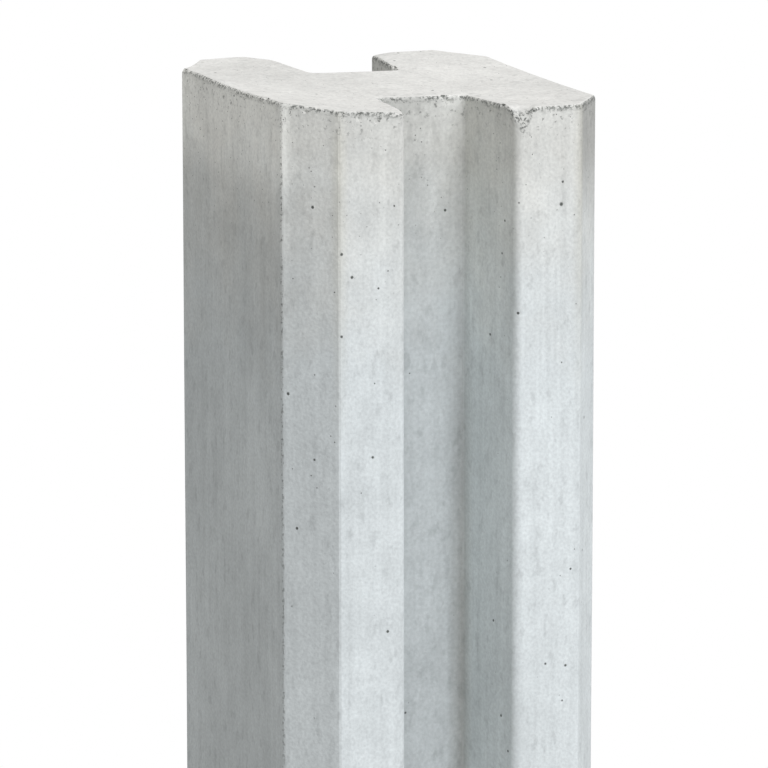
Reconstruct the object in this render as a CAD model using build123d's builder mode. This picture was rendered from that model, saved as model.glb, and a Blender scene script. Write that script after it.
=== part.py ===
from build123d import *

import os
from math import isclose

# A slotted intermediate post for a board or panel fence, cast in concrete as one piece.
# It stands on its foot along +Z, with the origin at the middle of the foot.
# The two board slots open towards -Y and +Y, and the plain sides face -X and +X.
# All sizes are in millimetres.

# Overall section and length
post_width = 115.0
post_depth = 115.0
post_length = 2770.0

# Bevels on the four outer corners: more is taken off the plain sides than off the slotted faces
bevel_on_slotted_face = 13.5
bevel_on_plain_side = 16.5

# Board slots: each narrows towards its floor, so that the casting leaves its mould
slot_mouth_width = 40.0
slot_floor_width = 32.0
slot_depth = 31.5
slot_mouth_radius = 2.5
slot_floor_radius = 1.5

# The struck top end has a softened rim, and the foot is left square
top_rim_radius = 1.0

half_width = post_width / 2
half_depth = post_depth / 2
slot_floor = half_depth - slot_depth


def corners(sketch, x, y):
    """The corners of a sketch that lie x and y from its middle, in all four quarters."""
    return [v for v in sketch.vertices() if isclose(abs(v.X), x) and isclose(abs(v.Y), y)]


with BuildPart() as fence_post:
    with BuildSketch() as section:
        with BuildLine():
            Polyline(
                (half_width, 0),
                (half_width, half_depth - bevel_on_plain_side),
                (half_width - bevel_on_slotted_face, half_depth),
                (slot_mouth_width / 2, half_depth),
                (slot_floor_width / 2, slot_floor),
                (0, slot_floor),
            )
            mirror(about=Plane.XZ)
            mirror(about=Plane.YZ)
        make_face()
        fillet(corners(section, slot_mouth_width / 2, half_depth), slot_mouth_radius)
        fillet(corners(section, slot_floor_width / 2, slot_floor), slot_floor_radius)
    extrude(amount=post_length)
    top_face = fence_post.faces().sort_by(Axis.Z)[-1]
    fillet(top_face.edges(), top_rim_radius)

fence_post.part.label = "fence_post"

os.makedirs("parts", exist_ok=True)
export_step(fence_post.part, "parts/fence_post.step")
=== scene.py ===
import math
from functools import partial
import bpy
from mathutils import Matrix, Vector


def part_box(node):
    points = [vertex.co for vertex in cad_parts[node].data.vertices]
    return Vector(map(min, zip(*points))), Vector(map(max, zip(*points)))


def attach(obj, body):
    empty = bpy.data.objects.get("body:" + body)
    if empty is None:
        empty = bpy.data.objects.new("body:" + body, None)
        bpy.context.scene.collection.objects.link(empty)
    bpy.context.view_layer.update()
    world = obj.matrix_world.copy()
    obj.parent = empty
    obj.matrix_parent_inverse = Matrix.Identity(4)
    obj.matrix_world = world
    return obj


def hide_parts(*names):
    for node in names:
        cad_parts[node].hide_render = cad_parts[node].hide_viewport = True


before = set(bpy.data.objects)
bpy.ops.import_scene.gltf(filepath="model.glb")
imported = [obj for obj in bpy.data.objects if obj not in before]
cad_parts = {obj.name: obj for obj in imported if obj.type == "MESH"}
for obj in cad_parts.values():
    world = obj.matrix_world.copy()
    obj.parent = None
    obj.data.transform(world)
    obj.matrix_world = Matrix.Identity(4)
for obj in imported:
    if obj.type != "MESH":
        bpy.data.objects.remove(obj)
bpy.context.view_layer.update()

from types import SimpleNamespace

import bmesh
import bpy
from bpy.props import FloatProperty, FloatVectorProperty, PointerProperty
from mathutils import Matrix, Vector, noise

bl_info = {
    "name": "Slotted fence post",
    "version": (1, 0, 0),
    "blender": (4, 5, 0),
    "location": "3D View > Sidebar > Fence post",
    "description": "Dresses the cast concrete fence post and sets up its studio",
    "category": "Object",
}

MM = 0.001
POST_NODE = "fence_post"
POST_LOW, POST_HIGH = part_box(POST_NODE)
POST_WIDTH = POST_HIGH[0] - POST_LOW[0]
POST_DEPTH = POST_HIGH[1] - POST_LOW[1]
POST_TOP = POST_HIGH[2]
IMAGE_SIDE_PX = 768
SENSOR_MM = 36

# Two places nearer than this are the same place
TINY = 1e-6


def linear(hex_colour):
    """An sRGB hex colour as linear red, green and blue."""
    channels = [int(hex_colour[i:i + 2], 16) / 255 for i in (1, 3, 5)]
    return tuple(c / 12.92 if c <= 0.04045 else ((c + 0.055) / 1.055) ** 2.4 for c in channels)


def length_property(name, description, default):
    return FloatProperty(name=name, description=description, default=default, unit="LENGTH")


def colour_property(name, description, hex_colour):
    return FloatVectorProperty(
        name=name, description=description, default=linear(hex_colour), subtype="COLOR", min=0, max=1
    )


class CastingSettings(bpy.types.PropertyGroup):
    """Sizes of the cast post and of its wear."""

    bevel_front: length_property("Bevel on slotted face", "Corner bevel across the slotted face", 13.5 * MM)
    bevel_side: length_property("Bevel on plain side", "Corner bevel across the plain side", 16.5 * MM)
    mouth_width: length_property("Slot mouth", "Width of a board slot at its mouth", 40 * MM)
    floor_width: length_property("Slot floor", "Width of a board slot at its floor", 32 * MM)
    slot_depth: length_property("Slot depth", "Depth of a board slot", 31.5 * MM)
    mouth_radius: length_property("Mouth radius", "Rounding of the slot's mouth corners", 2.5 * MM)
    floor_radius: length_property("Floor radius", "Rounding of the slot's floor corners", 1.5 * MM)
    arris_radius: length_property("Arris radius", "Rounding of the bevels' edges", 0.45 * MM)
    rim_radius: length_property("Rim radius", "Rounding of the struck top's rim", 1.2 * MM)
    cell: length_property("Cell", "Width of the mesh's cells round the section", 1.1 * MM)
    top_fall: length_property("Top fall", "Drop of the struck top from the left side to the right", 4.1 * MM)
    top_rise: length_property("Top rise", "Rise of the struck top from the front to the back", 2.3 * MM)
    top_dish: length_property("Top dish", "Depth of the struck top's hollow at its middle", 1.8 * MM)
    left_swell: length_property("Left swell", "Height of the low mound by the left front bevel", 1.2 * MM)
    mouth_slump: length_property("Mouth slump", "Drop of the slot mouths' corners at the top", 0.8 * MM)
    roll_radius: length_property("Roll radius", "Arc at the top of the right slot wall's front edge", 7 * MM)
    lobe_slump: length_property("Lobe slump", "Drop of the left outer corner at the back", 1.3 * MM)
    chip_depth: length_property("Chip depth", "Depth of the crumbled spots along the rim", 1.1 * MM)


class ConcreteSettings(bpy.types.PropertyGroup):
    """Colours of the cast concrete."""

    body: colour_property("Body", "Cast skin below the head", "#CDD2D2")
    head: colour_property("Head", "Cast skin of the upper few centimetres", "#CDCDC8")
    top: colour_property("Top", "Struck top end", "#DBDAD6")
    # The air holes' dark colour is painted shade, standing in for the shade inside them
    hole: colour_property("Air hole", "Inside of the air holes", "#4E514D")
    stain: colour_property("Stain", "Damp stain in the slots' corners", "#968D7B")
    arris: colour_property("Arris", "Warm tint along the bevels' edges", "#BDB9A6")


class StageSettings(bpy.types.PropertyGroup):
    """The camera's place and the strength of the lights."""

    azimuth: FloatProperty(
        name="Azimuth", description="Camera's turn to the left of the slotted face",
        default=math.radians(24.95), subtype="ANGLE",
    )
    elevation: FloatProperty(
        name="Elevation", description="Camera's pitch downwards", default=math.radians(11.90), subtype="ANGLE"
    )
    roll: FloatProperty(
        name="Roll", description="Camera's roll", default=math.radians(-0.03), subtype="ANGLE"
    )
    distance: length_property("Distance", "Camera's distance from the post's top", 2.009)
    focal_px: FloatProperty(
        name="Focal length", description="Focal length in pixels of the image's side", default=6000
    )
    top_u: FloatProperty(
        name="Top across", description="Top centre's place across the image, in pixels", default=387.4
    )
    top_v: FloatProperty(
        name="Top down", description="Top centre's place down the image, in pixels", default=84.2
    )
    sky: FloatProperty(name="Sky", description="Strength of the even white light all round", default=0.46)
    key: FloatProperty(name="Key", description="Power of the key lamp", default=60, unit="POWER")
    key_colour: colour_property("Key colour", "Slightly cool white of the key lamp", "#F8FAFF")
    top_lamp: FloatProperty(
        name="Top lamp", description="Power of the lamp overhead", default=27, unit="POWER"
    )


def smooth_step(low, high, value):
    """Goes smoothly from 0 at the low value to 1 at the high one."""
    t = min(max((value - low) / (high - low), 0), 1)
    return t * t * (3 - 2 * t)


def section_outline(bm, post):
    """The post's section as a closed run of short edges at the foot's height."""
    half_width, half_depth = POST_WIDTH / 2, POST_DEPTH / 2
    slot_floor = half_depth - post.slot_depth
    quarter = [
        (half_width, 0),
        (half_width, half_depth - post.bevel_side),
        (half_width - post.bevel_front, half_depth),
        (post.mouth_width / 2, half_depth),
        (post.floor_width / 2, slot_floor),
        (0, slot_floor),
    ]
    verts = [bm.verts.new((x, y, POST_LOW[2])) for x, y in quarter]
    for a, b in zip(verts, verts[1:]):
        bm.edges.new((a, b))
    for axis in "XY":
        bmesh.ops.mirror(bm, geom=bm.verts[:] + bm.edges[:], axis=axis, merge_dist=TINY)
    bmesh.ops.remove_doubles(bm, verts=bm.verts, dist=TINY)

    def at(x, y):
        return [v for v in bm.verts if abs(abs(v.co.x) - x) < TINY and abs(abs(v.co.y) - y) < TINY]

    roundings = [
        # Corners, radius and number of segments
        (at(post.mouth_width / 2, half_depth), post.mouth_radius, 5),
        (at(post.floor_width / 2, slot_floor), post.floor_radius, 3),
        (at(half_width, half_depth - post.bevel_side), post.arris_radius, 1),
        (at(half_width - post.bevel_front, half_depth), post.arris_radius, 1),
    ]
    for corners, radius, segments in roundings:
        bmesh.ops.bevel(
            bm, geom=corners, offset=radius, offset_type="OFFSET", segments=segments, profile=0.5,
            affect="VERTICES", material=-1,
        )
    by_cuts = {}
    for edge in bm.edges:
        cuts = round(edge.calc_length() / post.cell) - 1
        if cuts > 0:
            by_cuts.setdefault(cuts, []).append(edge)
    for cuts, edges in by_cuts.items():
        bmesh.ops.subdivide_edges(bm, edges=edges, cuts=cuts)


def raise_post(bm, post):
    """Extrudes the section to the full length and rounds the top's rim."""
    face = bmesh.ops.contextual_create(bm, geom=bm.edges[:])["faces"][0]
    if face.normal.z > 0:
        face.normal_flip()
    raised = bmesh.ops.extrude_face_region(bm, geom=[face])["geom"]
    top_verts = [e for e in raised if isinstance(e, bmesh.types.BMVert)]
    bmesh.ops.translate(bm, verts=top_verts, vec=(0, 0, POST_TOP - POST_LOW[2]))
    bmesh.ops.recalc_face_normals(bm, faces=bm.faces)
    rim = [e for e in bm.edges if all(v.co.z > POST_TOP - TINY for v in e.verts)]
    bmesh.ops.bevel(
        bm, geom=rim, offset=post.rim_radius, offset_type="OFFSET", segments=3, profile=0.5,
        affect="EDGES", material=-1, loop_slide=True,
    )


# Bands of the wall: the depth where each ends and the height of its rows, in mm. The last ends at the foot
WALL_BANDS = [(10, 0.7), (45, 1.8), (270, 4.5), (1000, 40), (None, 90)]
# The rows are counted from this far below the top. The first ones may reach higher, up to the rim's rounding
RIM_ROOM, RIM_SLACK = 1.6 * MM, 1 * MM
# Only edges longer than this many rows are cut
UNCUT_ROWS = 1.5
# The top's cells are this many times as wide as the walls'
TOP_CELL_RATIO = 1.3


def cut_wall(bm):
    """Cuts the walls into rows, which are finest at the head."""
    upper = POST_TOP - RIM_ROOM
    for depth, row in WALL_BANDS:
        row *= MM
        lower = POST_TOP - depth * MM if depth else POST_LOW[2]
        if depth:
            bmesh.ops.bisect_plane(
                bm, geom=bm.verts[:] + bm.edges[:] + bm.faces[:], plane_co=(0, 0, lower), plane_no=(0, 0, 1)
            )
        upright = []
        for edge in bm.edges:
            low, high = sorted(v.co.z for v in edge.verts)
            if high - low > row * UNCUT_ROWS and low > lower - TINY and high < upper + RIM_SLACK:
                upright.append(edge)
        cuts = round((upper - lower) / row) - 1
        bmesh.ops.subdivide_edges(bm, edges=upright, cuts=cuts, use_grid_fill=True)
        upper = lower


def top_faces(bm):
    """The faces of the flat top, without the rim's rounding."""
    return [f for f in bm.faces if f.normal.z > 0.999 and f.calc_center_median().z > POST_TOP - 10 * TINY]


def cut_top(bm, post):
    """Cuts the struck top into square cells."""
    cell = post.cell * TOP_CELL_RATIO
    for axis, side in ((0, POST_WIDTH), (1, POST_DEPTH)):
        count = round(side / cell)
        normal = Vector((0, 0, 0))
        normal[axis] = 1
        for i in range(1, count):
            place = Vector((0, 0, POST_TOP))
            place[axis] = -side / 2 + side * i / count
            faces = top_faces(bm)
            edges = {e for f in faces for e in f.edges}
            verts = {v for f in faces for v in f.verts}
            geometry = faces + list(edges) + list(verts)
            bmesh.ops.bisect_plane(bm, geom=geometry, plane_co=place, plane_no=normal)


# The swell is down to about a third of its height at this distance from its middle
SWELL_REACH = 25 * MM
# The slumps of the slot mouths' corners and of the back lobe end at these distances
SLUMP_REACH = 9 * MM
LOBE_REACH = 24 * MM
# The rolled arc is full up to the first of these distances past the slot's mouth, and gone at the second
ROLL_FULL, ROLL_GONE = 1.5 * MM, 7.5 * MM


def rolled_arc(x, y, post):
    """Drop of the right slot wall's top along an arc that turns down to the front face."""
    if x <= 0:
        return 0
    radius = post.roll_radius
    to_arc = max(radius - (y + POST_DEPTH / 2), 0)
    drop = radius - math.sqrt(max(radius ** 2 - to_arc ** 2, 0))
    return drop * (1 - smooth_step(ROLL_FULL, ROLL_GONE, x - post.mouth_width / 2))


def top_relief(x, y, post):
    """How far the struck top lies below its highest corner, as a positive length."""
    u, v = x / POST_WIDTH, y / POST_DEPTH
    # The dish is a paraboloid, which is a full top_dish deep between the middle and a corner
    height = -post.top_fall * u + post.top_rise * v + post.top_dish * 2 * (u * u + v * v)
    highest = post.top_fall / 2 + post.top_rise / 2 + post.top_dish
    arris = Vector((-POST_WIDTH / 2, post.bevel_side - POST_DEPTH / 2))
    swell = math.exp(-((Vector((x, y)) - arris).length / SWELL_REACH) ** 2)
    mouth = Vector((post.mouth_width / 2, POST_DEPTH / 2))
    slump = 1 - smooth_step(0, SLUMP_REACH, (Vector((abs(x), abs(y))) - mouth).length)
    outer = Vector(((post.bevel_front - POST_WIDTH) / 2, (POST_DEPTH - post.bevel_side) / 2))
    lobe = 1 - smooth_step(0, LOBE_REACH, (Vector((x, y)) - outer).length)
    worn = post.mouth_slump * slump + post.lobe_slump * lobe + rolled_arc(x, y, post)
    return highest - height - post.left_swell * swell + worn


# The mould's waves: how deep they are, and their frequency across and along the post, per metre
WAVE_DEPTH = 0.25 * MM
WAVE_ACROSS, WAVE_ALONG = 18, 9
# The top's relief has faded out of the walls at this depth
RELIEF_REACH = 60 * MM
# The rim's chips: their frequency per metre, and the depths where they are full and where they end
CHIP_FREQUENCY = 260
CHIP_FULL, CHIP_GONE = 1 * MM, 7 * MM
# The turbulence where a chip starts, and where it is at its deepest
CRUMBLE_FROM, CRUMBLE_FULL = 0.37, 0.8
# Chips fade out between these upward parts of the normal, so that none sinks the flat top
UPWARD_FULL, UPWARD_GONE = 0.9, 0.999


def weather(bm, post):
    """Moves the skin a little inwards: the top's fall, the mould's slight waves and the crumbled rim."""
    below_rim = bm.verts.layers.float.new("below_rim")
    moves = []
    for vert in bm.verts:
        x, y, z = vert.co
        depth = POST_TOP - z
        vert[below_rim] = depth
        wave = noise.noise(Vector((x * WAVE_ACROSS, y * WAVE_ACROSS, z * WAVE_ALONG))) * 0.5 + 0.5
        inward = -vert.normal * wave * WAVE_DEPTH
        inward.z = 0
        head = 1 - smooth_step(0.0, RELIEF_REACH, depth)
        drop = Vector((0, 0, -top_relief(x, y, post) * head))
        side = 1 - smooth_step(UPWARD_FULL, UPWARD_GONE, vert.normal.z)
        turbulence = noise.turbulence(vert.co * CHIP_FREQUENCY, 3, False)
        crumble = smooth_step(CRUMBLE_FROM, CRUMBLE_FULL, turbulence)
        near_rim = 1 - smooth_step(CHIP_FULL, CHIP_GONE, depth)
        chip = -vert.normal * post.chip_depth * crumble * side * near_rim
        moves.append(inward + drop + chip)
    for vert, move in zip(bm.verts, moves):
        vert.co += move


# Edges that turn by more than this show as a crisp line
CRISP_ANGLE = math.radians(19)


class POST_OT_casting(bpy.types.Operator):
    """Makes the dressed casting that stands for the CAD post"""

    bl_idname = "fence_post.casting"
    bl_label = "Concrete casting"

    def execute(self, context):
        post = context.scene.fence_post_casting
        bm = bmesh.new()
        section_outline(bm, post)
        raise_post(bm, post)
        cut_wall(bm)
        cut_top(bm, post)
        bm.normal_update()
        weather(bm, post)
        bmesh.ops.recalc_face_normals(bm, faces=bm.faces)
        mesh = bpy.data.meshes.new("concrete_casting")
        bm.to_mesh(mesh)
        bm.free()
        mesh.shade_smooth()
        mesh.set_sharp_from_angle(angle=CRISP_ANGLE)
        casting = bpy.data.objects.new("concrete_casting", mesh)
        context.scene.collection.objects.link(casting)
        mesh.materials.append(cast_concrete(post, context.scene.fence_post_concrete))
        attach(casting, "root")
        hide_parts(POST_NODE)
        return {"FINISHED"}


def add_node(tree, kind, links=None, **settings):
    """Adds a node, sets its attributes and inputs, and links its inputs to other nodes' outputs."""
    node = tree.nodes.new(kind)
    for name, value in settings.items():
        setattr(node, name, value)
    for socket, value in (links or {}).items():
        if isinstance(value, bpy.types.NodeSocket):
            tree.links.new(value, node.inputs[socket])
        else:
            node.inputs[socket].default_value = value
    return node


def new_material(name):
    material = bpy.data.materials.new(name)
    material.use_nodes = True
    material.node_tree.nodes.clear()
    return material, material.node_tree


def per_mm(size):
    """A pattern's scale, from the size in millimetres of what it draws."""
    return 1 / (size * MM)


# Air holes that stand out: face, place across the post, depth below the top and radius, in mm
AIR_HOLES = [
    ("front", 36.6, 39.3, 0.75),
    ("front", -30.0, 62.1, 0.45),
    ("front", -39.5, 57.7, 0.6),
    ("front", -24.3, 35.2, 0.4),
    ("front", -43.2, 49.8, 0.6),
    ("front", -32.1, 118.4, 0.55),
    ("left bevel", -50.2, 34.9, 0.6),
    ("left bevel", -56.0, 97.7, 0.6),
    ("right slot wall", 19.1, 44.6, 0.5),
    ("right slot wall", 18.9, 55.8, 0.45),
]


def read_surface(add):
    """A point's place, the same mirrored into one quarter of the section, its depth, and if it faces up."""
    place = add("ShaderNodeTexCoord").outputs["Object"]
    mirrored = add("ShaderNodeVectorMath", {0: place}, operation="ABSOLUTE").outputs[0]
    mirrored = add("ShaderNodeVectorMath", {0: mirrored, 1: (1, 1, 0)}, operation="MULTIPLY").outputs[0]
    quarter = add("ShaderNodeSeparateXYZ", {0: mirrored})
    normal = add("ShaderNodeNewGeometry").outputs["Normal"]
    facing = add("ShaderNodeSeparateXYZ", {0: normal}).outputs["Z"]
    top = add("ShaderNodeMapRange", {"Value": facing, "From Min": 0.6, "From Max": 0.92}).outputs[0]
    return SimpleNamespace(
        place=place,
        across=add("ShaderNodeSeparateXYZ", {0: place}).outputs["X"],
        mirrored=mirrored,
        mirrored_across=quarter.outputs["X"],
        mirrored_back=quarter.outputs["Y"],
        depth=add("ShaderNodeAttribute", attribute_name="below_rim").outputs["Fac"],
        top=top,
        off_top=add("ShaderNodeMath", {0: 1.0, 1: top}, operation="SUBTRACT").outputs[0],
    )


def key_lines(post):
    """Distances from the section's middle to its main lines, as the mirrored place reads them."""
    return SimpleNamespace(
        side=POST_WIDTH / 2,
        front=POST_DEPTH / 2,
        slot_floor=POST_DEPTH / 2 - post.slot_depth,
        floor_edge=post.floor_width / 2,
        mouth=post.mouth_width / 2,
        flat=POST_WIDTH / 2 - post.bevel_front,
        side_flat=POST_DEPTH / 2 - post.bevel_side,
    )


def cast_tones(add, at):
    """Clouds, mould streaks and sand grain, which multiply the colour. The grain also gives the bump."""
    tones = [
        # Stretch along each axis, size in mm, detail, darkest, lightest
        ((1, 1, 0.7), 42, 4, 0.92, 1.06),
        ((1, 1, 0.8), 9, 5, 0.94, 1.05),
        ((1, 1, 0.03), 2.6, 3, 0.95, 1.045),
        # Real sand is finer than this, which is as coarse as it needs to be to show
        ((1, 1, 1), 1.1, 3, 0.91, 1.08),
    ]
    tone = 1.0
    for stretch, size, detail, dark, light in tones:
        stretched = add("ShaderNodeMapping", {"Vector": at.place, "Scale": stretch}).outputs[0]
        grain = add("ShaderNodeTexNoise", {
            "Vector": stretched, "Scale": per_mm(size), "Detail": detail,
        }).outputs[0]
        level = add("ShaderNodeMapRange", {
            "Value": grain, "From Min": 0.3, "From Max": 0.7, "To Min": dark, "To Max": light,
        }).outputs[0]
        tone = add("ShaderNodeMath", {0: level, 1: tone}, operation="MULTIPLY").outputs[0]
    return tone, grain


def smudged(add, at, tone):
    """Faint darker flecks that the mould oil leaves."""
    smudge = add("ShaderNodeMapping", {"Vector": at.place, "Scale": (1, 1, 0.5)}).outputs[0]
    smudge = add("ShaderNodeTexNoise", {"Vector": smudge, "Scale": per_mm(3.0), "Detail": 4}).outputs[0]
    smudge = add("ShaderNodeMapRange", {
        "Value": smudge, "From Min": 0.57, "From Max": 0.68, "To Min": 1, "To Max": 0.88,
    }).outputs[0]
    return add("ShaderNodeMath", {0: tone, 1: smudge}, operation="MULTIPLY").outputs[0]


def ragged_depth(add, at):
    """The depth below the top, made uneven so that what it bounds has a ragged edge."""
    ragged = add("ShaderNodeTexNoise", {"Vector": at.place, "Scale": per_mm(16), "Detail": 4}).outputs[0]
    return add("ShaderNodeMath", {0: ragged, 1: 60 * MM, 2: at.depth}, operation="MULTIPLY_ADD").outputs[0]


def skin_colour(add, at, ragged, colours):
    """The upper few centimetres are less blue than the body, and the struck top is lighter."""
    head = add("ShaderNodeMapRange", {
        "Value": ragged, "From Min": 40 * MM, "From Max": 125 * MM, "To Min": 1, "To Max": 0,
    }).outputs[0]
    layers = [(head, colours.head), (at.top, colours.top)]
    colour = (*colours.body, 1)
    for share, layer in layers:
        colour = add("ShaderNodeMix", {0: share, 6: colour, 7: (*layer, 1)}, data_type="RGBA").outputs[2]
    return colour


def painted_light_and_soiling(add, at, post, tone):
    """Broad areas with a shade of their own, darker where it is below 1 and lighter above 1: painted shade
    and painted light on the slots and the right flanges, partly soiling on the slots' floors, and a darker
    right head and a lighter left head.
    """
    line = key_lines(post)
    on_floor = [
        (at.mirrored_back, line.slot_floor, line.slot_floor + 2 * MM),
        (at.mirrored_across, line.floor_edge, line.floor_edge + 3 * MM),
    ]
    slot_wall = [
        (at.mirrored_across, line.mouth - 0.6 * MM, line.mouth + 0.4 * MM),
        (at.mirrored_back, line.slot_floor + 4 * MM, line.slot_floor),
    ]
    right_flange = [
        (at.across, line.mouth + 3 * MM, line.mouth + 1 * MM),
        (at.mirrored_back, line.front - 1 * MM, line.front - 3 * MM),
    ]
    # A ramp is a value, where it is 1 and where it has gone to 0. The shade is full where all are 1
    areas = [
        # The slots' floors are darker: partly soiling, partly painted shade of the recess
        (on_floor, 0.85),
        # Painted shade makes them darker towards the left, where the key lamp lights them more
        (on_floor + [(at.across, -line.floor_edge * 0.4, line.floor_edge * 0.8)], 0.82),
        # Painted light makes them lighter at the head
        (on_floor + [(at.depth, 15 * MM, 50 * MM)], 1.20),
        # Painted light makes the slots' walls paler
        (slot_wall, 1.17),
        # Painted light makes the right flanges' faces a little paler too
        (right_flange, 1.05),
        # The right bevels and the right side are darker at the head
        ([(at.across, line.flat + 1 * MM, line.flat - 1.5 * MM), (at.depth, 18 * MM, 50 * MM)], 0.66),
        # The left side is lighter at the head
        ([(at.across, 1 * MM - line.side, 3 * MM - line.side), (at.depth, 12 * MM, 50 * MM)], 1.24),
        # So are the left bevels, and the left side once more
        ([(at.across, -line.flat - 1 * MM, 1 * MM - line.flat), (at.depth, 22 * MM, 35 * MM)], 1.18),
    ]
    for ramps, shade in areas:
        share = at.off_top
        for value, full, gone in ramps:
            ramp = add("ShaderNodeMapRange", {
                "Value": value, "From Min": full, "From Max": gone, "To Min": 1, "To Max": 0,
            }).outputs[0]
            share = add("ShaderNodeMath", {0: share, 1: ramp}, operation="MULTIPLY").outputs[0]
        shade = add("ShaderNodeMix", {0: share, 2: 1.0, 3: shade}).outputs[0]
        tone = add("ShaderNodeMath", {0: tone, 1: shade}, operation="MULTIPLY").outputs[0]
    return tone


def stained_lines(add, at, post, ragged, colours, colour):
    """A brownish stain low in the slots' floor corners, and a warm line at the head of the bevels' edges."""
    line = key_lines(post)
    stains = [
        # Place in the section, reach, depths where it starts and is full, share, colour
        ((line.floor_edge, line.slot_floor), 6 * MM, 60 * MM, 180 * MM, 0.30, colours.stain),
        ((line.flat, line.front), 3.5 * MM, 120 * MM, 20 * MM, 0.35, colours.arris),
    ]
    for (x, y), reach, start, full, share, tint in stains:
        away = add(
            "ShaderNodeVectorMath", {0: at.mirrored, 1: (x, y, 0)}, operation="DISTANCE"
        ).outputs["Value"]
        near = add("ShaderNodeMapRange", {
            "Value": away, "From Min": 0.0, "From Max": reach, "To Min": share, "To Max": 0,
        }).outputs[0]
        along = add("ShaderNodeMapRange", {"Value": at.depth, "From Min": start, "From Max": full}).outputs[0]
        patchy = add("ShaderNodeMapRange", {"Value": ragged, "From Max": 50 * MM}).outputs[0]
        for factor in (along, patchy, at.off_top):
            near = add("ShaderNodeMath", {0: near, 1: factor}, operation="MULTIPLY").outputs[0]
        colour = add("ShaderNodeMix", {0: near, 6: colour, 7: (*tint, 1)}, data_type="RGBA").outputs[2]
    return colour


def scattered_holes(add, at):
    """Air holes, dark with painted shade: a sparse scatter all over, smaller ones in the upper part, and
    pepper at the head.
    """
    scatters = [
        # Cell in mm, radius as a share of the cell, share of cells with a hole, depth in m where it ends
        (9.0, 0.055, 0.55, 9.0),
        (4.6, 0.055, 0.30, 0.30),
        (2.3, 0.09, 0.35, 0.075),
    ]
    pits = 0.0
    for cell, radius, share, end in scatters:
        cells = add("ShaderNodeTexVoronoi", {"Vector": at.place, "Scale": per_mm(cell)})
        spot = add("ShaderNodeMapRange", {
            "Value": cells.outputs["Distance"], "From Min": radius * 0.7, "From Max": radius * 1.2,
            "To Min": 1, "To Max": 0,
        }).outputs[0]
        picked = add("ShaderNodeSeparateXYZ", {0: cells.outputs["Color"]}).outputs["X"]
        picked = add("ShaderNodeMath", {0: picked, 1: share}, operation="LESS_THAN").outputs[0]
        fade = add("ShaderNodeMapRange", {
            "Value": at.depth, "From Min": end * 0.3, "From Max": end, "To Min": 1, "To Max": 0,
        }).outputs[0]
        for factor in (picked, fade):
            spot = add("ShaderNodeMath", {0: spot, 1: factor}, operation="MULTIPLY").outputs[0]
        pits = add("ShaderNodeMath", {0: spot, 1: pits}, operation="MAXIMUM").outputs[0]
    return pits


def crumbled_spots(add, at, post, pits):
    """Crumbs right under the rim, dark with painted shade, thinning out below it, along the side edges and at
    the worn arc.
    """
    line = key_lines(post)
    from_arris = add("ShaderNodeVectorMath", {
        0: at.mirrored, 1: (line.side, line.side_flat, 0),
    }, operation="DISTANCE").outputs["Value"]
    from_arc = add("ShaderNodeVectorMath", {
        0: at.place, 1: (line.mouth, -line.front, POST_TOP - 6 * MM),
    }, operation="DISTANCE").outputs["Value"]
    crumbled = [
        # Distance, where the crumbs are full and where they end, their size in mm, threshold, share
        (at.depth, 0.7 * MM, 2.4 * MM, 1.1, 0.49, 0.95),
        (at.depth, 2 * MM, 12 * MM, 1.6, 0.585, 0.75),
        (at.depth, 8 * MM, 70 * MM, 1.2, 0.655, 0.65),
        (from_arris, 0.2 * MM, 1.0 * MM, 1.1, 0.51, 0.7),
        (from_arc, 2 * MM, 7 * MM, 1.2, 0.58, 0.5),
    ]
    for distance, full, gone, size, threshold, share in crumbled:
        crumbs = add("ShaderNodeTexNoise", {
            "Vector": at.place, "Scale": per_mm(size), "Detail": 5, "Roughness": 0.65,
        }).outputs[0]
        crumbs = add("ShaderNodeMapRange", {
            "Value": crumbs, "From Min": threshold, "From Max": threshold + 0.07,
        }).outputs[0]
        reach = add("ShaderNodeMapRange", {
            "Value": distance, "From Min": full, "From Max": gone, "To Min": share, "To Max": 0,
        }).outputs[0]
        for factor in (reach, at.off_top):
            crumbs = add("ShaderNodeMath", {0: crumbs, 1: factor}, operation="MULTIPLY").outputs[0]
        pits = add("ShaderNodeMath", {0: crumbs, 1: pits}, operation="MAXIMUM").outputs[0]
    return pits


def placed_holes(add, at, post, pits):
    """The air holes of the list, each a spot of painted shade with a soft edge."""
    line = key_lines(post)
    faces = {
        # Two places in the section that the face runs through
        "front": ((-line.flat, -line.front), (line.flat, -line.front)),
        "left bevel": ((-line.side, -line.side_flat), (-line.flat, -line.front)),
        "right slot wall": ((line.floor_edge, -line.slot_floor), (line.mouth, -line.front)),
    }
    for face, across, below, radius in AIR_HOLES:
        (x0, y0), (x1, y1) = faces[face]
        x = across * MM
        y = y0 + (y1 - y0) * (x - x0) / (x1 - x0)
        middle = (x, y, POST_TOP - below * MM)
        away = add(
            "ShaderNodeVectorMath", {0: at.place, 1: middle}, operation="DISTANCE"
        ).outputs["Value"]
        hole = add("ShaderNodeMapRange", {
            "Value": away, "From Min": radius * 0.6 * MM, "From Max": radius * 1.1 * MM,
            "To Min": 1, "To Max": 0,
        }).outputs[0]
        pits = add("ShaderNodeMath", {0: hole, 1: pits}, operation="MAXIMUM").outputs[0]
    return pits


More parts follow.
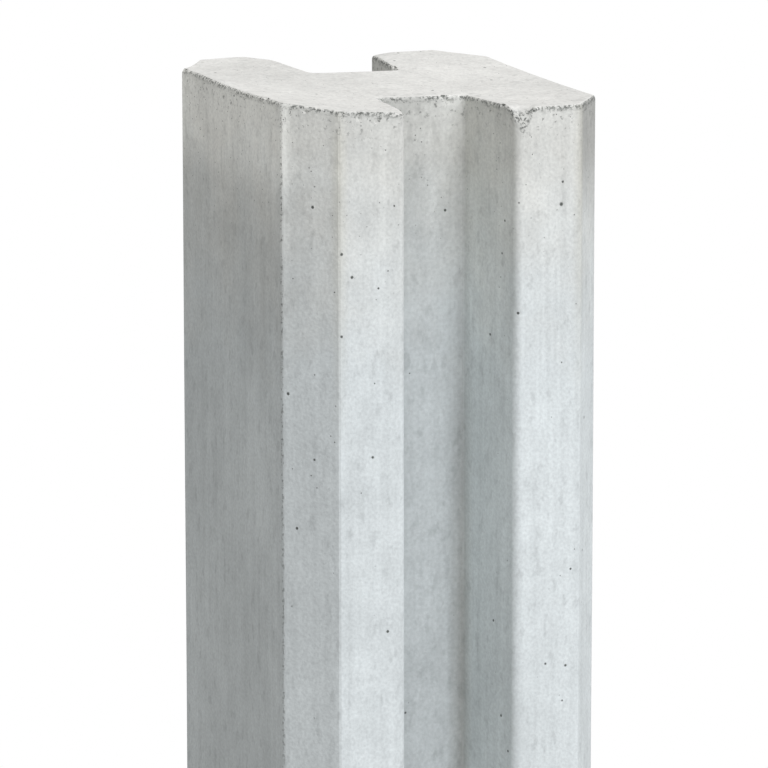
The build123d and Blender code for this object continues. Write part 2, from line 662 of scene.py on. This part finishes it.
def cast_concrete(post, colours):
    """Precast concrete: its mould leaves it smooth and matt, clouded, and dotted with small air holes."""
    material, tree = new_material("precast_concrete")
    add = partial(add_node, tree)
    at = read_surface(add)
    ragged = ragged_depth(add, at)

    tone, grain = cast_tones(add, at)
    # Painted light and painted shade, and soiling, in broad areas
    tone = painted_light_and_soiling(add, at, post, tone)
    tone = smudged(add, at, tone)
    colour = skin_colour(add, at, ragged, colours)
    colour = stained_lines(add, at, post, ragged, colours, colour)
    colour = add(
        "ShaderNodeMix", {0: 1.0, 6: colour, 7: tone}, data_type="RGBA", blend_type="MULTIPLY"
    ).outputs[2]

    pits = scattered_holes(add, at)
    pits = crumbled_spots(add, at, post, pits)
    pits = placed_holes(add, at, post, pits)
    # The holes' and crumbs' dark colour is painted shade, which lets a little of the skin's colour through
    painted_shade_share = add("ShaderNodeMath", {0: pits, 1: 0.95}, operation="MULTIPLY").outputs[0]
    colour = add("ShaderNodeMix", {0: painted_shade_share, 6: colour, 7: (*colours.hole, 1)}, data_type="RGBA").outputs[2]

    # Holes sink twice as deep as the grain stands out
    height = add("ShaderNodeMath", {0: pits, 1: -2.0, 2: grain}, operation="MULTIPLY_ADD").outputs[0]
    bump = add("ShaderNodeBump", {"Height": height, "Strength": 0.5, "Distance": 0.25 * MM}).outputs[0]
    shader = add("ShaderNodeBsdfPrincipled", {
        "Base Color": colour, "Roughness": 0.88, "Specular IOR Level": 0.3, "Normal": bump,
    })
    add("ShaderNodeOutputMaterial", {"Surface": shader.outputs["BSDF"]})
    return material


def area_lamp(name, power, colour, size, place, target):
    """Adds a round area lamp that faces its target."""
    lamp = bpy.data.lights.new(name, "AREA")
    lamp.shape = "DISK"
    lamp.size = size
    lamp.energy = power
    lamp.color = colour
    holder = bpy.data.objects.new(name, lamp)
    holder.location = place
    holder.rotation_euler = (Vector(target) - Vector(place)).to_track_quat("-Z", "Y").to_euler()
    bpy.context.scene.collection.objects.link(holder)


# Lamps: places from the middle of the post's top, and the diameters of their discs, in metres
KEY_PLACE, KEY_SIZE = Vector((0.62, -2.65, 0.9)), 1.6
TOP_LAMP_PLACE, TOP_LAMP_SIZE = Vector((0.2, -0.3, 2.5)), 1.5
# The floor's radius in metres, and the colour of its paint
FLOOR_RADIUS, FLOOR_COLOUR = 4, "#F2F2F0"
# To the camera, the paint turns white between these distances from the floor's middle, in metres
WHITE_FROM, WHITE_FULL = 0.8, 3.6
# This share of the white lies on the whole floor, so that it looks pale
WHITE_SHARE = 0.3


class POST_OT_stage(bpy.types.Operator):
    """Makes the floor, the even light, the lamps and the camera"""

    bl_idname = "fence_post.stage"
    bl_label = "Studio"

    def execute(self, context):
        scene, stage = context.scene, context.scene.fence_post_stage
        scene.view_settings.view_transform = "Standard"
        self.white_world(scene, stage)
        self.floor(scene)
        head = Vector((0, 0, POST_TOP))
        area_lamp("key", stage.key, stage.key_colour, KEY_SIZE, head + KEY_PLACE, head)
        area_lamp("overhead", stage.top_lamp, (1, 1, 1), TOP_LAMP_SIZE, head + TOP_LAMP_PLACE, head)
        self.camera(scene, stage)
        return {"FINISHED"}

    def white_world(self, scene, stage):
        """Even light at the sky's strength, which camera, glossy and transmission rays see as white."""
        world = bpy.data.worlds.new("studio_white")
        world.use_nodes = True
        tree = world.node_tree
        tree.nodes.clear()
        path = add_node(tree, "ShaderNodeLightPath")
        seen = path.outputs["Is Camera Ray"]
        for ray in ("Is Glossy Ray", "Is Transmission Ray"):
            links = {0: seen, 1: path.outputs[ray]}
            seen = add_node(tree, "ShaderNodeMath", links, operation="MAXIMUM").outputs[0]
        strength = add_node(tree, "ShaderNodeMapRange", {
            "Value": seen, "To Min": stage.sky, "To Max": 1.0,
        }).outputs[0]
        back = add_node(tree, "ShaderNodeBackground", {"Color": (1, 1, 1, 1), "Strength": strength})
        add_node(tree, "ShaderNodeOutputWorld", {"Surface": back.outputs[0]})
        scene.world = world

    def floor(self, scene):
        """Lays a round floor at the foot's height."""
        bm = bmesh.new()
        bmesh.ops.create_circle(bm, cap_ends=True, segments=64, radius=FLOOR_RADIUS)
        mesh = bpy.data.meshes.new("studio_floor")
        bm.to_mesh(mesh)
        bm.free()
        floor = bpy.data.objects.new("studio_floor", mesh)
        scene.collection.objects.link(floor)
        mesh.materials.append(self.floor_paint())

    def floor_paint(self):
        """Matt floor paint: plain and pale, with the post's shadow, and white towards the floor's edge."""
        material, tree = new_material("matt_floor_paint")
        paint = add_node(tree, "ShaderNodeBsdfDiffuse", {"Color": (*linear(FLOOR_COLOUR), 1)})
        place = add_node(tree, "ShaderNodeTexCoord").outputs["Object"]
        away = add_node(tree, "ShaderNodeVectorMath", {0: place}, operation="LENGTH").outputs["Value"]
        edge = add_node(tree, "ShaderNodeMapRange", {
            "Value": away, "From Min": WHITE_FROM, "From Max": WHITE_FULL, "To Min": WHITE_SHARE,
        }, interpolation_type="SMOOTHSTEP").outputs[0]
        seen = add_node(tree, "ShaderNodeLightPath").outputs["Is Camera Ray"]
        share = add_node(tree, "ShaderNodeMath", {0: edge, 1: seen}, operation="MULTIPLY").outputs[0]
        white = add_node(tree, "ShaderNodeEmission", {"Color": (1, 1, 1, 1), "Strength": 1.0}).outputs[0]
        surface = add_node(tree, "ShaderNodeMixShader", {0: share, 1: paint.outputs[0], 2: white}).outputs[0]
        add_node(tree, "ShaderNodeOutputMaterial", {"Surface": surface})
        return material

    def camera(self, scene, stage):
        """Places the camera so that the top's centre falls on its pixel of the image."""
        a, e = stage.azimuth, stage.elevation
        back = Vector((-math.sin(a) * math.cos(e), -math.cos(a) * math.cos(e), math.sin(e)))
        right = Vector((math.cos(a), -math.sin(a), 0))
        up = back.cross(right)
        turn = Matrix.Rotation(stage.roll, 3, back)
        right, up = turn @ right, turn @ up
        middle = IMAGE_SIDE_PX / 2
        across = (stage.top_u - middle) / stage.focal_px * stage.distance
        upward = (middle - stage.top_v) / stage.focal_px * stage.distance
        post = scene.fence_post_casting
        target = Vector((0, 0, POST_TOP - top_relief(0, 0, post)))
        lens = bpy.data.cameras.new("camera")
        lens.sensor_width = SENSOR_MM
        lens.lens = lens.sensor_width * stage.focal_px / IMAGE_SIDE_PX
        camera = bpy.data.objects.new("camera", lens)
        camera.matrix_world = Matrix.Translation(
            target + back * stage.distance - right * across - up * upward
        ) @ Matrix((right, up, back)).transposed().to_4x4()
        lens.clip_start, lens.clip_end = 0.1, 100
        scene.collection.objects.link(camera)
        scene.camera = camera


class POST_PT_panel(bpy.types.Panel):
    """Lists the fence post's sizes and its operators"""

    bl_idname = "POST_PT_panel"
    bl_label = "Fence post"
    bl_space_type = "VIEW_3D"
    bl_region_type = "UI"
    bl_category = "Fence post"

    def draw(self, context):
        for name in SETTINGS:
            settings = getattr(context.scene, name)
            box = self.layout.box()
            for value in settings.__annotations__:
                box.prop(settings, value)
        for operator in OPERATORS:
            self.layout.operator(operator.bl_idname)


SETTINGS = {
    "fence_post_casting": CastingSettings,
    "fence_post_concrete": ConcreteSettings,
    "fence_post_stage": StageSettings,
}
OPERATORS = (POST_OT_casting, POST_OT_stage)
CLASSES = (*SETTINGS.values(), *OPERATORS, POST_PT_panel)


def register():
    for cls in CLASSES:
        bpy.utils.register_class(cls)
    for name, settings in SETTINGS.items():
        setattr(bpy.types.Scene, name, PointerProperty(type=settings))


def unregister():
    for name in SETTINGS:
        delattr(bpy.types.Scene, name)
    for cls in reversed(CLASSES):
        bpy.utils.unregister_class(cls)


def main():
    register()
    bpy.ops.fence_post.casting()
    bpy.ops.fence_post.stage()


if __name__ == "__main__":
    main()
